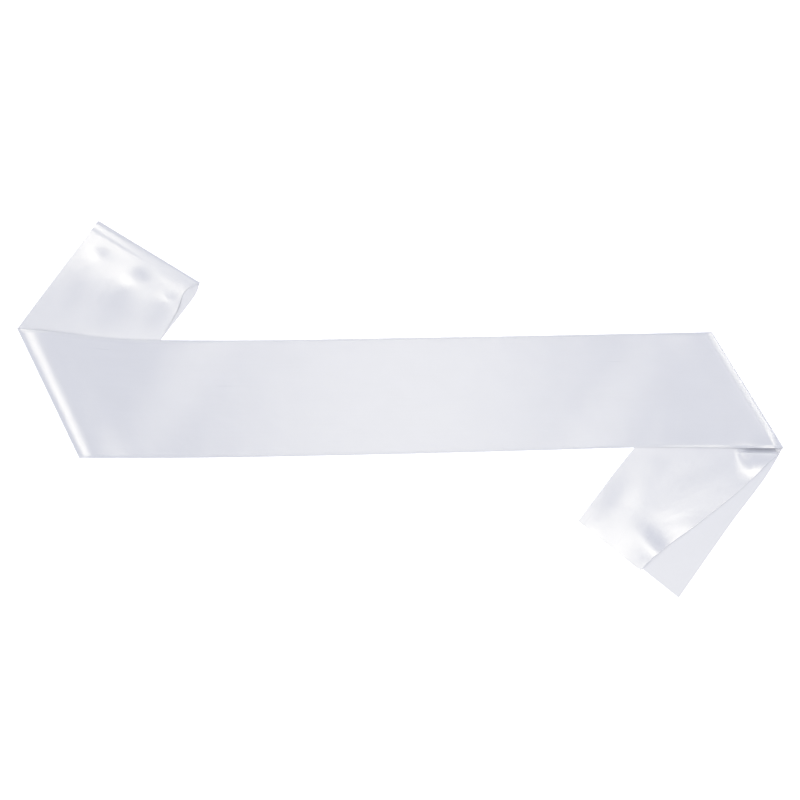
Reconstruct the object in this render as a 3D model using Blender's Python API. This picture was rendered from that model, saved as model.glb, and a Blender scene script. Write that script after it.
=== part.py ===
"""A blank white satin sash, folded in half, then folded in a Z and laid flat.

The sash is one strip of cloth. It lies doubled, so two layers run side by side along a long band.
At the left the doubled strip turns under the band and comes out at the upper left, where the two
layers are joined by a square fold. At the right it turns under the band again, and the two cut
ends come out at the lower right. Each stretch is a ruled surface: a ruling runs across the strip
from one long edge to the other, and the rulings near a fold lie along the fold.

Metres. X runs to the right along the band, Y away from the viewer, Z up from the table.
"""

import math
from collections import namedtuple

import bmesh
import bpy
import numpy as np

# Cloth
SASH_WIDTH = 0.100
WALL = 0.001
GAP = 0.0003
PITCH = WALL + GAP

# Heights of the middle of each layer where the strip lies four deep, from the table up
FRONT_UNDER = WALL / 2
BACK_UNDER = FRONT_UNDER + PITCH
BACK_OVER = BACK_UNDER + PITCH
FRONT_OVER = BACK_OVER + PITCH
# Past the doubled strip beneath it, the band settles by two layers
SETTLE = 2 * PITCH
SETTLE_START = 0.008
SETTLE_RUN = 0.026

# Corners of the folded sash, in sash widths from the middle of its box
Point = namedtuple("Point", "x y")
LEFT_TIP = Point(-3.269, 0.692)
LEFT_HEEL = Point(-2.739, -0.415)
RIGHT_TIP = Point(2.658, 0.662)
RIGHT_HEEL = Point(3.274, -0.329)
LOOP_LEFT = Point(-2.581, 1.607)
LOOP_RIGHT = Point(-1.709, 1.077)
UPPER_TAIL_LEFT = Point(1.521, -0.953)
UPPER_TAIL_RIGHT = Point(2.054, -1.377)
LOWER_TAIL_LEFT = Point(1.573, -0.965)
LOWER_TAIL_RIGHT = Point(2.385, -1.611)

# The band's long edges, which curve a little, in sash widths
BAND_TOP = (
    LEFT_TIP,
    Point(-2.906, 0.662),
    Point(-2.564, 0.620),
    Point(-2.308, 0.599),
    Point(-1.950, 0.594),
    Point(0.350, 0.618),
    RIGHT_TIP,
)
BAND_BOTTOM = (
    LEFT_HEEL,
    Point(-1.900, -0.415),
    Point(-0.400, -0.391),
    Point(1.200, -0.350),
    Point(2.100, -0.325),
    RIGHT_HEEL,
)

# How far an edge of an end bows to the right of the straight line between its corners, in sash
# widths, at a share of the way along it
Bow = namedtuple("Bow", "along right")
STRAIGHT = (Bow(0.0, 0.0), Bow(1.0, 0.0))
LOOP_UNDER_BOW = (Bow(0.0, 0.0), Bow(0.75, 0.008), Bow(0.87, 0.022), Bow(0.96, 0.022), Bow(1.0, 0.0))
LOOP_OVER_BOW = (Bow(0.0, 0.0), Bow(0.72, -0.008), Bow(0.84, -0.028), Bow(0.94, -0.062), Bow(1.0, 0.0))
TAIL_LEFT_BOW = (Bow(0.0, 0.0), Bow(0.4, 0.050), Bow(0.75, 0.016), Bow(1.0, 0.0))
TURNED_BOW = (Bow(0.0, 0.0), Bow(0.3, 0.030), Bow(0.6, 0.016), Bow(0.9, -0.012), Bow(1.0, 0.0))
TAIL_RIGHT_BOW = (Bow(0.0, 0.0), Bow(0.12, 0.018), Bow(0.5, 0.004), Bow(1.0, 0.0))

# Rolls of the folds: inset is how far the outermost line lies in from the fold's outline, nose
# is its height, crest_in is how far in the highest line lies, crest is its height over the flat
# cloth, ease and turn are how far in the roll ends above and below, and tip and heel scale the
# crest at the two ends of the fold
Roll = namedtuple("Roll", "inset crest_in crest ease nose turn tip heel")
LEFT_FRONT_ROLL = Roll(0.0005, 0.0100, 0.0030, 0.0330, 0.0027, 0.0035, 0.60, 1.05)
LEFT_BACK_ROLL = Roll(0.0026, 0.0100, 0.0024, 0.0330, 0.0029, 0.0027, 0.60, 1.05)
RIGHT_FRONT_ROLL = Roll(0.0005, 0.0070, 0.0030, 0.0270, 0.0027, 0.0035, 0.70, 1.20)
RIGHT_BACK_ROLL = Roll(0.0026, 0.0080, 0.0024, 0.0270, 0.0029, 0.0027, 0.70, 1.20)
LOOP_ROLL = Roll(0.0005, 0.0050, 0.0032, 0.0150, 0.0026, 0.0040, 1.0, 1.0)

# How far the band's cloth runs under itself before the next stretch takes over
RETURN = 0.0068
# How far from a slanted fold its rulings stay parallel to it, and how they then fan out
PARALLEL = 0.018
FAN_POWER = 1.5
# How far from a cut end the rulings lie along it
TAIL_RUN_OUT = 0.004

# The upper tail's right margin is turned under, from nothing at the fold to this at the cut end
TURNED_START = 0.0022
TURNED_END = 0.031
TURN_RADIUS = PITCH / 2
# How far past the turned-under margin the cloth over it comes down, at the fold and at the end
TURN_EASE_START = 0.006
TURN_EASE_END = 0.030
# How far from the band's edge the ends are pressed flat, and how far on their waves are full
PRESSED = 0.003
FREE_RUN = 0.025

# Soft waves that show in the ends: place along and across, half length, half width and height
Wave = namedtuple("Wave", "along across long wide rise")
LOOP_WAVES = (
    Wave(0.86, 0.22, 0.10, 0.20, 0.0012),
    Wave(0.80, 0.62, 0.10, 0.22, 0.0015),
    Wave(0.62, 0.45, 0.16, 0.60, 0.0012),
)
TAIL_WAVES = (
    Wave(0.62, 0.25, 0.30, 0.16, 0.0022),
    Wave(0.70, 0.62, 0.16, 0.20, 0.0014),
    Wave(0.92, 0.75, 0.10, 0.20, 0.0016),
    Wave(0.48, 0.72, 0.16, 0.16, 0.0020),
)

# How finely the surfaces are divided
ROWS_ACROSS = 10
ROLL_OVER_STEPS = 5
ROLL_EASE_STEPS = 5
ROLL_UNDER_STEPS = 3
RETURN_STEPS = 2
BAND_STEPS = 28
# How evenly the band's columns are spread: 1 is even, and less crowds them near the folds
EVENNESS = 0.4
LOOP_STEPS = 10
TAIL_STEPS = 14
TURN_STEPS = 4
FLAP_STEPS = 2
# How often a place on a curved edge is moved before it lies on its ruling
EDGE_TRIES = 12

Look = namedtuple("Look", "colour roughness")
SATIN_FRONT = Look((0.80, 0.82, 0.88, 1.0), 0.35)
SATIN_END = Look((0.86, 0.87, 0.91, 1.0), 0.35)
SATIN_INSIDE = Look((0.76, 0.78, 0.85, 1.0), 0.50)


def ease(t):
    """0 to 1 with a level start and end."""
    t = min(max(t, 0.0), 1.0)
    return t * t * (3 - 2 * t)


def xy(point):
    """A corner in plan, in metres."""
    return SASH_WIDTH * np.array([point.x, point.y])


def edge_level(edge, x):
    """How far back a long edge of the band lies at x, in metres."""
    return SASH_WIDTH * smooth(edge, x / SASH_WIDTH)


def smooth(rows, at):
    """The value at a place on the smooth curve through rows of (place, value)."""
    places = [row[0] for row in rows]
    values = [row[1] for row in rows]
    slopes = np.gradient(values, places)
    i = int(np.clip(np.searchsorted(places, at) - 1, 0, len(rows) - 2))
    run = places[i + 1] - places[i]
    t = min(max((at - places[i]) / run, 0.0), 1.0)
    start = (1 + 2 * t) * (1 - t) ** 2 * values[i] + t * (1 - t) ** 2 * run * slopes[i]
    end = t * t * (3 - 2 * t) * values[i + 1] - t * t * (1 - t) * run * slopes[i + 1]
    return start + end


def past(place, start, end, inside):
    """How far a place lies past a line in plan, away from the inside point."""
    along = end - start
    normal = np.array([-along[1], along[0]]) / np.linalg.norm(along)
    if normal @ (inside - start) > 0:
        normal = -normal
    return float((place - start) @ normal)


def rounded(nose, level, share):
    """A height on a quarter of an ellipse, from its nose at share 0 to its level at share 1."""
    return nose + (level - nose) * math.sqrt(max(1 - (1 - min(share, 1.0)) ** 2, 0.0))


class Fold:
    """A slanted fold's outline in plan, and places measured inwards from it."""

    def __init__(self, tip, heel, inside):
        self.tip = xy(tip)
        self.heel = xy(heel)
        along = self.heel - self.tip
        self.length = float(np.linalg.norm(along))
        self.along = along / self.length
        normal = np.array([-self.along[1], self.along[0]])
        self.inward = normal if normal @ (xy(inside) - self.tip) > 0 else -normal

    def depth(self, place):
        """How far in a place lies from the fold's outline."""
        return float((place - self.tip) @ self.inward)

    def share(self, place):
        """0 at the tip and 1 at the heel."""
        return float(np.clip((place - self.tip) @ self.along / self.length, 0, 1))

    def on_band(self, edge, depth):
        """Where the ruling at this depth meets a long edge of the band."""
        place = self.tip if edge is BAND_TOP else self.heel
        for _ in range(EDGE_TRIES):
            place = np.array([place[0], edge_level(edge, place[0])])
            place[0] += (depth - self.depth(place)) / self.inward[0]
        return np.array([place[0], edge_level(edge, place[0])])


LEFT_FOLD = Fold(LEFT_TIP, LEFT_HEEL, RIGHT_TIP)
RIGHT_FOLD = Fold(RIGHT_TIP, RIGHT_HEEL, LEFT_HEEL)


class End:
    """The doubled strip past a slanted fold, in plan: rulings from its left edge to its right."""

    def __init__(self, fold, ends, bows, run_out):
        self.starts = (fold.tip, fold.heel)
        self.ends = [xy(end) for end in ends]
        self.bows = bows
        self.depths = [fold.depth(end) for end in self.ends]
        self.spans = [abs(past(start, *self.ends, fold.tip)) for start in self.starts]
        self.last = [self.depth_at(side, run_out) for side in (0, 1)]

    def depth_at(self, side, before):
        """The depth of an edge's point that lies this far before the end."""
        return self.depths[side] * (1 - before / self.spans[side])

    def edge(self, side, depth):
        """A point on a long edge: side 0 starts at the fold's tip, side 1 at its heel."""
        start, end = self.starts[side], self.ends[side]
        share = depth / self.depths[side]
        chord = end - start
        right = np.array([chord[1], -chord[0]]) / np.linalg.norm(chord)
        if right[0] < 0:
            right = -right
        bow = SASH_WIDTH * smooth(self.bows[side], min(max(share, 0.0), 1.0))
        return start + chord * share + right * bow

    def ruling(self, depth):
        """Both ends of the ruling whose point on the tip's side is this deep."""
        share = max((depth - PARALLEL) / (self.last[0] - PARALLEL), 0.0)
        heel_depth = depth + (self.last[1] - self.last[0]) * share**FAN_POWER
        return self.edge(0, depth), self.edge(1, heel_depth)

    def ruling_before_end(self, before):
        """Both ends of the ruling that lies this far before the end, and along it."""
        return self.edge(0, self.depth_at(0, before)), self.edge(1, self.depth_at(1, before))

    def share(self, place):
        """0 far from the end and 1 at it, over the span of the tip's side."""
        return 1 - self.before_end(place) / self.spans[0]

    def before_end(self, place):
        """How far a place lies before the line of the end."""
        return -past(place, *self.ends, self.starts[0])


LOOP_ENDS = (LOOP_LEFT, LOOP_RIGHT)
LOOP_UNDER = End(LEFT_FOLD, LOOP_ENDS, (STRAIGHT, LOOP_UNDER_BOW), LOOP_ROLL.ease)
LOOP_OVER = End(LEFT_FOLD, LOOP_ENDS, (STRAIGHT, LOOP_OVER_BOW), LOOP_ROLL.ease)
UPPER_TAIL_ENDS = (UPPER_TAIL_LEFT, UPPER_TAIL_RIGHT)
LOWER_TAIL_ENDS = (LOWER_TAIL_LEFT, LOWER_TAIL_RIGHT)
TAIL_OVER = End(RIGHT_FOLD, UPPER_TAIL_ENDS, (TAIL_LEFT_BOW, TURNED_BOW), TAIL_RUN_OUT)
TAIL_UNDER = End(RIGHT_FOLD, LOWER_TAIL_ENDS, (TAIL_LEFT_BOW, TAIL_RIGHT_BOW), TAIL_RUN_OUT)


def settled(place):
    """How far the band has come down at a place, past the doubled strips beneath it."""
    left = past(place, LEFT_FOLD.heel, xy(LOOP_RIGHT), LEFT_FOLD.tip)
    right = past(place, RIGHT_FOLD.tip, TAIL_OVER.edge(0, TAIL_OVER.depths[0] / 2), RIGHT_FOLD.heel)
    clear = min(left, right) - SETTLE_START
    return SETTLE * ease(clear / SETTLE_RUN)


def over_roll(roll, depth, rise, flat):
    """Height of the cloth on top of a roll, this far in from the fold's outline."""
    if depth >= roll.crest_in:
        return flat + rise * (1 - ease((depth - roll.crest_in) / (roll.ease - roll.crest_in)))
    return rounded(roll.nose, flat + rise, (depth - roll.inset) / (roll.crest_in - roll.inset))


def under_roll(roll, depth, flat):
    """Height of the cloth beneath a roll, this far in from the fold's outline."""
    return rounded(roll.nose, flat, (depth - roll.inset) / roll.turn)


def slanted_roll(fold, roll, place, flat):
    """Height of a band layer at a place, with the roll of one slanted fold on it."""
    scale = roll.tip + (roll.heel - roll.tip) * fold.share(place)
    return over_roll(roll, fold.depth(place), roll.crest * scale, flat)


def band_height(place, flat, rolls):
    """Height of a band layer: flat, settled past the ends beneath it, and rolled at each fold."""
    left_roll, right_roll = rolls
    level = flat - settled(place)
    if LEFT_FOLD.depth(place) < left_roll.ease:
        return slanted_roll(LEFT_FOLD, left_roll, place, level)
    if RIGHT_FOLD.depth(place) < right_roll.ease:
        return slanted_roll(RIGHT_FOLD, right_roll, place, level)
    return level


def arc_steps(start, end, steps):
    """Places from a nose at start to end, close together at the nose."""
    return [start + (end - start) * (1 - math.cos(math.pi / 2 * i / steps)) for i in range(steps + 1)]


def even_steps(start, end, steps):
    return [start + (end - start) * i / steps for i in range(steps + 1)]


def crowded_steps(steps):
    """Shares from 0 to 1, closer together at both ends."""
    even = even_steps(0.0, 1.0, steps)
    return [EVENNESS * t + (1 - EVENNESS) * (1 - math.cos(math.pi * t)) / 2 for t in even]


def grid_object(name, columns, look):
    """A cloth wall round the middle surface through columns of points, as one object."""
    mesh = bpy.data.meshes.new(name)
    bm = bmesh.new()
    bmesh.ops.create_grid(bm, x_segments=len(columns) - 1, y_segments=len(columns[0]) - 1, size=1)
    ordered = sorted(bm.verts, key=lambda v: (round(v.co.x, 6), round(v.co.y, 6)))
    for vert, point in zip(ordered, [point for column in columns for point in column]):
        vert.co = point
    bm.to_mesh(mesh)
    bm.free()
    mesh.shade_smooth()
    obj = bpy.data.objects.new(name, mesh)
    bpy.context.scene.collection.objects.link(obj)
    wall = obj.modifiers.new("wall", "SOLIDIFY")
    wall.thickness = WALL
    wall.offset = 0.0
    wall.use_rim = True
    wall.use_even_offset = True
    material = bpy.data.materials.new(name + "_satin")
    material.use_nodes = True
    shader = material.node_tree.nodes["Principled BSDF"]
    shader.inputs["Base Color"].default_value = look.colour
    shader.inputs["Roughness"].default_value = look.roughness
    shader.inputs["Metallic"].default_value = 0.0
    mesh.materials.append(material)
    return obj


def across(first, second, rows, height):
    """A column of points between two places, with their heights."""
    points = []
    for i in range(rows + 1):
        place = first + (second - first) * i / rows
        points.append((place[0], place[1], height(place, i / rows)))
    return points


def band_column(fold, end, roll, depth, over, flat, rolls):
    """One column of a band layer near a fold, over or under the band."""

    def edge_places(at):
        if over:
            return fold.on_band(BAND_TOP, at), fold.on_band(BAND_BOTTOM, at)
        return end.ruling(at)

    def nose_places():
        top, bottom = fold.on_band(BAND_TOP, roll.inset), fold.on_band(BAND_BOTTOM, roll.inset)
        left, right = end.ruling(roll.inset)
        return (top + left) / 2, (bottom + right) / 2

    near = 1 - ease((depth - roll.inset) / roll.turn)
    places = edge_places(depth)
    shifts = [nose - edge for nose, edge in zip(nose_places(), edge_places(roll.inset))]
    tip, heel = [place + shift * near for place, shift in zip(places, shifts)]
    if over:
        return across(heel, tip, ROWS_ACROSS, lambda place, _: band_height(place, flat, rolls))
    return across(heel, tip, ROWS_ACROSS, lambda place, _: under_roll(roll, fold.depth(place), flat))


def band_layer(name, flat_over, flat_under, rolls, look):
    """A layer of the long band with both of its rolls and a short run back beneath itself."""
    left_roll, right_roll = rolls
    columns = []

    def fold_columns(fold, end, roll):
        back = even_steps(RETURN, roll.inset + roll.turn, RETURN_STEPS)[:-1]
        under = arc_steps(roll.inset, roll.inset + roll.turn, ROLL_UNDER_STEPS)[::-1]
        over = arc_steps(roll.inset, roll.crest_in, ROLL_OVER_STEPS)[1:]
        out = even_steps(roll.crest_in, roll.ease, ROLL_EASE_STEPS)[1:]
        made = [band_column(fold, end, roll, d, False, flat_under, rolls) for d in back + under]
        return made + [band_column(fold, end, roll, d, True, flat_over, rolls) for d in over + out]

    left = fold_columns(LEFT_FOLD, LOOP_UNDER, left_roll)
    right = fold_columns(RIGHT_FOLD, TAIL_UNDER, right_roll)
    columns += left
    ends = [[np.array(column[k][:2]) for k in (0, -1)] for column in (left[-1], right[-1])]
    for share in crowded_steps(BAND_STEPS)[1:-1]:
        places = [a + (b - a) * share for a, b in zip(*ends)]
        heel = np.array([places[0][0], edge_level(BAND_BOTTOM, places[0][0])])
        tip = np.array([places[1][0], edge_level(BAND_TOP, places[1][0])])
        columns.append(across(heel, tip, ROWS_ACROSS, lambda p, _: band_height(p, flat_over, rolls)))
    columns += right[::-1]
    return grid_object(name, columns, look)


def waves_at(waves, along, side, outside):
    """Height of the soft waves at a place, as shares of an end's length and width."""
    rise = 0.0
    for wave in waves:
        reach = ((along - wave.along) / wave.long) ** 2 + ((side - wave.across) / wave.wide) ** 2
        rise += wave.rise * math.exp(-reach)
    return rise * ease((outside - PRESSED) / FREE_RUN)


def left_end():
    """The folded-in-half end: the lower layer, the square fold and the upper layer."""
    roll = LOOP_ROLL

    def over_height(place, side):
        outside = place[1] - edge_level(BAND_TOP, place[0])
        flat = BACK_UNDER + waves_at(LOOP_WAVES, LOOP_OVER.share(place), side, outside)
        return over_roll(roll, LOOP_OVER.before_end(place), roll.crest, flat)

    def below_height(place, _):
        return under_roll(roll, LOOP_UNDER.before_end(place), FRONT_UNDER)

    flat_depths = even_steps(RETURN + GAP, LOOP_UNDER.last[0], LOOP_STEPS)
    below = [roll.ease, *arc_steps(roll.inset, roll.inset + roll.turn, ROLL_UNDER_STEPS)[::-1]][1:]
    above = arc_steps(roll.inset, roll.crest_in, ROLL_OVER_STEPS)[1:]
    above += even_steps(roll.crest_in, roll.ease, ROLL_EASE_STEPS)[1:]
    columns = [across(*LOOP_UNDER.ruling(depth)[::-1], ROWS_ACROSS, below_height) for depth in flat_depths]
    for before in below:
        places = LOOP_UNDER.ruling_before_end(before)[::-1]
        columns.append(across(*places, ROWS_ACROSS, below_height))
    for before in above:
        places = LOOP_OVER.ruling_before_end(before)[::-1]
        columns.append(across(*places, ROWS_ACROSS, over_height))
    for depth in flat_depths[-2::-1]:
        columns.append(across(*LOOP_OVER.ruling(depth)[::-1], ROWS_ACROSS, over_height))
    return grid_object("left_end", columns, SATIN_END)


def tail_rulings(end):
    """Rulings of a tail, from where the roll ends to the cut end."""
    depths = even_steps(RETURN + GAP, end.last[0], TAIL_STEPS)
    return [end.ruling(depth) for depth in depths] + [end.ruling_before_end(0.0)]


def tail_lower():
    """The cut end that lies on the table."""
    columns = []
    for tip, heel in tail_rulings(TAIL_UNDER):
        columns.append(across(heel, tip, ROWS_ACROSS, lambda place, _: FRONT_UNDER))
    return grid_object("tail_lower", columns, SATIN_INSIDE)


def tail_upper():
    """The cut end that lies on top, whose right margin is turned under in a wedge."""
    columns = []
    rulings = tail_rulings(TAIL_OVER)
    for number, (tip, heel) in enumerate(rulings):
        share = number / (len(rulings) - 1)
        width = TURNED_START + (TURNED_END - TURNED_START) * share
        run = TURN_EASE_START + (TURN_EASE_END - TURN_EASE_START) * share
        inward = (tip - heel) / np.linalg.norm(tip - heel)
        centre = heel + inward * (TURN_RADIUS + WALL / 2)

        def height(place, side):
            lift = PITCH * (1 - ease(((place - centre) @ inward - width - WALL) / run))
            outside = edge_level(BAND_BOTTOM, place[0]) - place[1]
            return BACK_UNDER + lift + waves_at(TAIL_WAVES, TAIL_OVER.share(place), side, outside)

        column = []
        for k in even_steps(width, 0.0, FLAP_STEPS)[:-1]:
            column.append((*(centre + inward * k), BACK_UNDER))
        top = across(centre, tip, ROWS_ACROSS, height)
        middle = (BACK_UNDER + top[0][2]) / 2
        half = (top[0][2] - BACK_UNDER) / 2
        for k in range(TURN_STEPS):
            angle = math.pi * k / TURN_STEPS
            place = centre - inward * TURN_RADIUS * math.sin(angle)
            column.append((*place, middle - half * math.cos(angle)))
        columns.append(column + top)
    return grid_object("tail_upper", columns, SATIN_END)


def centre_on_origin(pieces):
    """Moves every piece so that the middle of the sash's base is the origin."""
    graph = bpy.context.evaluated_depsgraph_get()
    corners = []
    for piece in pieces:
        corners += [corner[:] for corner in piece.evaluated_get(graph).bound_box]
    low, high = np.min(corners, axis=0), np.max(corners, axis=0)
    middle = ((low[0] + high[0]) / 2, (low[1] + high[1]) / 2, low[2])
    for piece in pieces:
        for vert in piece.data.vertices:
            vert.co.x -= middle[0]
            vert.co.y -= middle[1]
            vert.co.z -= middle[2]


def main():
    for obj in list(bpy.data.objects):
        bpy.data.objects.remove(obj, do_unlink=True)
    front_rolls = (LEFT_FRONT_ROLL, RIGHT_FRONT_ROLL)
    back_rolls = (LEFT_BACK_ROLL, RIGHT_BACK_ROLL)
    pieces = [
        band_layer("front_band", FRONT_OVER, FRONT_UNDER, front_rolls, SATIN_FRONT),
        band_layer("back_band", BACK_OVER, BACK_UNDER, back_rolls, SATIN_INSIDE),
        left_end(),
        tail_upper(),
        tail_lower(),
    ]
    centre_on_origin(pieces)


main()
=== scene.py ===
"""The finish of a blank white satin sash, folded in half, then in a Z, and laid flat.

The strip is one ruled sheet of cloth. Its shape is worked out the same way as the solids': rulings
run across the strip from one long edge to the other, along each fold near that fold. The sheet is
then cut where the solids part, so that each stretch replaces its own solid, and every stretch
carries the cloth's own map, in metres along and across the strip, which the weave follows.

Metres. X runs to the right along the band, Y away from the viewer, Z up from the table.
"""

import math
from collections import namedtuple

import bmesh
import bpy
import numpy as np
from bpy.props import FloatProperty, FloatVectorProperty, PointerProperty
from bpy.types import Operator, Panel, PropertyGroup
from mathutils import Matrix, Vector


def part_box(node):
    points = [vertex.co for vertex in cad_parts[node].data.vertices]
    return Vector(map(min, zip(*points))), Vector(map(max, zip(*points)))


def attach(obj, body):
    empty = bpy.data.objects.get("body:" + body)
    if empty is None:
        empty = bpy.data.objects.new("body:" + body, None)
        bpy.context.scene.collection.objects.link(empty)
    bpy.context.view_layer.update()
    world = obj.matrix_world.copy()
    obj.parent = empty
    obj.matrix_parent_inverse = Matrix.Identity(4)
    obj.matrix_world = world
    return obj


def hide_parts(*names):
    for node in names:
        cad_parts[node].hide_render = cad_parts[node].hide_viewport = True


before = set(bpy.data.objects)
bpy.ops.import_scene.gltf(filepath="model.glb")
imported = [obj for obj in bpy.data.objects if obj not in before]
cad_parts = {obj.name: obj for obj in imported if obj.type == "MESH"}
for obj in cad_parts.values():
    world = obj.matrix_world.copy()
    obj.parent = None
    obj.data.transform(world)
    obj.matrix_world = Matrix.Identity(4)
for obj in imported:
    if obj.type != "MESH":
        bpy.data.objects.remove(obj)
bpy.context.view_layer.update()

bl_info = {
    "name": "Satin sash",
    "version": (1, 0, 0),
    "blender": (4, 5, 0),
    "location": "View3D > Sidebar > Satin sash",
    "description": "Builds a folded blank satin sash and its studio",
    "category": "Object",
}

BODY = "root"
CLOTH_MAP = "cloth"

# Cloth
SASH_WIDTH = 0.100
# Heights of the middle of each layer where the strip lies four deep
FRONT_UNDER = 0.00022
BACK_UNDER = 0.0009
BACK_OVER = 0.0016
FRONT_OVER = 0.0023
# Past the doubled strip beneath it, the band settles
SETTLE_START = 0.004
SETTLE_RUN = 0.060
FRONT_SETTLED = 0.0009
BACK_SETTLED = FRONT_UNDER

# Corners of the folded sash, in sash widths from the middle of its box
Point = namedtuple("Point", "x y")
LEFT_TIP = Point(-3.269, 0.692)
LEFT_HEEL = Point(-2.739, -0.415)
RIGHT_TIP = Point(2.658, 0.662)
RIGHT_HEEL = Point(3.274, -0.329)
LOOP_LEFT = Point(-2.581, 1.607)
LOOP_RIGHT = Point(-1.709, 1.077)
UPPER_TAIL_LEFT = Point(1.521, -0.953)
UPPER_TAIL_RIGHT = Point(2.054, -1.377)
LOWER_TAIL_LEFT = Point(1.573, -0.965)
LOWER_TAIL_RIGHT = Point(2.385, -1.611)

# The band's long edges, which curve a little, in sash widths
BAND_TOP = (
    LEFT_TIP,
    Point(-2.906, 0.662),
    Point(-2.564, 0.620),
    Point(-2.308, 0.599),
    Point(-1.950, 0.594),
    Point(0.350, 0.618),
    RIGHT_TIP,
)
BAND_BOTTOM = (
    LEFT_HEEL,
    Point(-1.900, -0.415),
    Point(-0.400, -0.391),
    Point(1.200, -0.350),
    Point(2.100, -0.325),
    RIGHT_HEEL,
)

# How far an edge of an end bows to the right of the straight line between its corners, in sash
# widths, at a share of the way along it
Bow = namedtuple("Bow", "along right")
STRAIGHT = (Bow(0.0, 0.0), Bow(1.0, 0.0))
LOOP_UNDER_BOW = (Bow(0.0, 0.0), Bow(0.75, 0.008), Bow(0.87, 0.022), Bow(0.96, 0.022), Bow(1.0, 0.0))
LOOP_OVER_BOW = (Bow(0.0, 0.0), Bow(0.72, -0.008), Bow(0.84, -0.028), Bow(0.94, -0.062), Bow(1.0, 0.0))
TAIL_LEFT_BOW = (Bow(0.0, 0.0), Bow(0.4, 0.050), Bow(0.75, 0.016), Bow(1.0, 0.0))
TURNED_BOW = (Bow(0.0, 0.0), Bow(0.3, 0.030), Bow(0.6, 0.016), Bow(0.9, -0.012), Bow(1.0, 0.0))
TAIL_RIGHT_BOW = (Bow(0.0, 0.0), Bow(0.12, 0.018), Bow(0.5, 0.004), Bow(1.0, 0.0))

# Rolls of the folds: inset is how far the outermost line lies in from the fold's outline, nose
# is its height, crest_in is how far in the highest line lies, crest is its height over the flat
# cloth, ease and turn are how far in the roll ends above and below, and tip and heel scale the
# crest at the two ends of the fold; power is how round its top is, where 2 is an ellipse and less
# is a straighter slope
Roll = namedtuple("Roll", "inset crest_in crest ease nose turn tip heel power")
LEFT_FRONT_ROLL = Roll(0.0000, 0.0130, 0.0007, 0.0420, 0.0008, 0.0040, 0.80, 1.10, 1.55)
LEFT_BACK_ROLL = Roll(0.0026, 0.0135, 0.0005, 0.0420, 0.0011, 0.0030, 0.80, 1.10, 1.55)
RIGHT_FRONT_ROLL = Roll(-0.0008, 0.0062, 0.0007, 0.0400, 0.0008, 0.0040, 0.80, 1.20, 1.35)
RIGHT_BACK_ROLL = Roll(0.0026, 0.0080, 0.0005, 0.0400, 0.0011, 0.0030, 0.80, 1.20, 1.55)
LOOP_ROLL = Roll(-0.0009, 0.0030, 0.0, 0.0105, 0.00016, 0.0035, 1.0, 1.0, 2.0)
# The band's long edges sink towards the layer beneath, by this share of their height
FRONT_DROOP = 0.34
BACK_DROOP = 0.28
DROOP_RUN = 0.0024
DROOP_MOST = 0.0010

# Where the band's stretch ends beneath itself, how far from a slanted fold its rulings stay
# parallel to it, how they then fan out, and how far from a cut end they lie along it
RETURN = 0.0068
PARALLEL = 0.018
FAN_POWER = 1.5
TAIL_RUN_OUT = 0.004
# How soon the folded end's upper layer stops following the bow of its right edge
BOW_POWER = 4

# The upper tail's right margin is turned under by this much at the fold and at the cut end, and
# the layer over it takes this far to come down past it, again at the fold and at the cut end
TURNED_START = 0.0022
TURNED_END = 0.031
TURN_EASE_START = 0.014
TURN_EASE_END = 0.030
TURN_RADIUS = (BACK_OVER - BACK_UNDER) / 2

# Creases, listed one by one, which all rise: where the middle lies, the way it runs in degrees
# from X, half its length and half its width, how high its ridge is, the height of the step to its
# left, and how far to the left that step levels out again
Crease = namedtuple("Crease", "x y turn long wide rise step trail")
LOOP_CREASES = (
    Crease(-0.222, 0.111, 147, 0.060, 0.014, 0.0, 0.0011, 0.060),
    Crease(-0.252, 0.134, 147, 0.009, 0.0055, 0.0, 0.0007, 0.090),
    Crease(-0.219, 0.115, 147, 0.012, 0.0065, 0.0, 0.0013, 0.090),
    Crease(-0.193, 0.094, 147, 0.010, 0.0060, 0.0, 0.0020, 0.090),
    Crease(-0.2184, 0.1277, -31, 0.090, 0.0016, 0.0, 0.00030, 0.020),
    Crease(-0.176, 0.100, 53, 0.020, 0.011, 0.0006, 0.0, 0.010),
)
LOOP_UNDER_CREASES = (
    Crease(-0.180, 0.094, -33, 0.013, 0.008, 0.0006, 0.0, 0.010),
)
TAIL_CREASES = (
    Crease(0.178, -0.074, 145, 0.0105, 0.022, 0.0, 0.0021, 0.150),
    Crease(0.197, -0.083, -35, 0.0090, 0.022, 0.0, 0.0009, 0.036),
    Crease(0.248, -0.112, -35, 0.012, 0.009, 0.0, 0.0006, 0.020),
    Crease(0.219, -0.113, 130, 0.018, 0.0070, 0.0, 0.0017, 0.021),
)
BAND_CREASES = (
    Crease(0.229, -0.012, 75, 0.024, 0.010, 0.0003, 0.0, 0.010),
    Crease(0.262, -0.033, 1, 0.055, 0.014, 0.0008, 0.0, 0.010),
    Crease(0.310, -0.035, 0, 0.020, 0.009, 0.0026, 0.0, 0.010),
)
# Outside the band's edge, where the ends' creases begin and how far they take to reach full height
CREASE_FREE = 0.003
CREASE_RUN = 0.014
LOOP_CREASE_RUN = 0.045

# The upper tail's lip beside the band's edge at the right corner: where it begins along X, how far
# it takes to rise there, where it ends and how far it takes to drop, and, outwards from the band's
# edge, where it starts, peaks and ends, its height, and how steeply it falls from its peak
Lip = namedtuple("Lip", "left run right drop start peak end rise fall")
TAIL_LIP = Lip(0.2855, 0.0160, 0.3290, 0.0040, 0.0004, 0.0050, 0.0320, 0.0042, 2.5)

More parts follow.
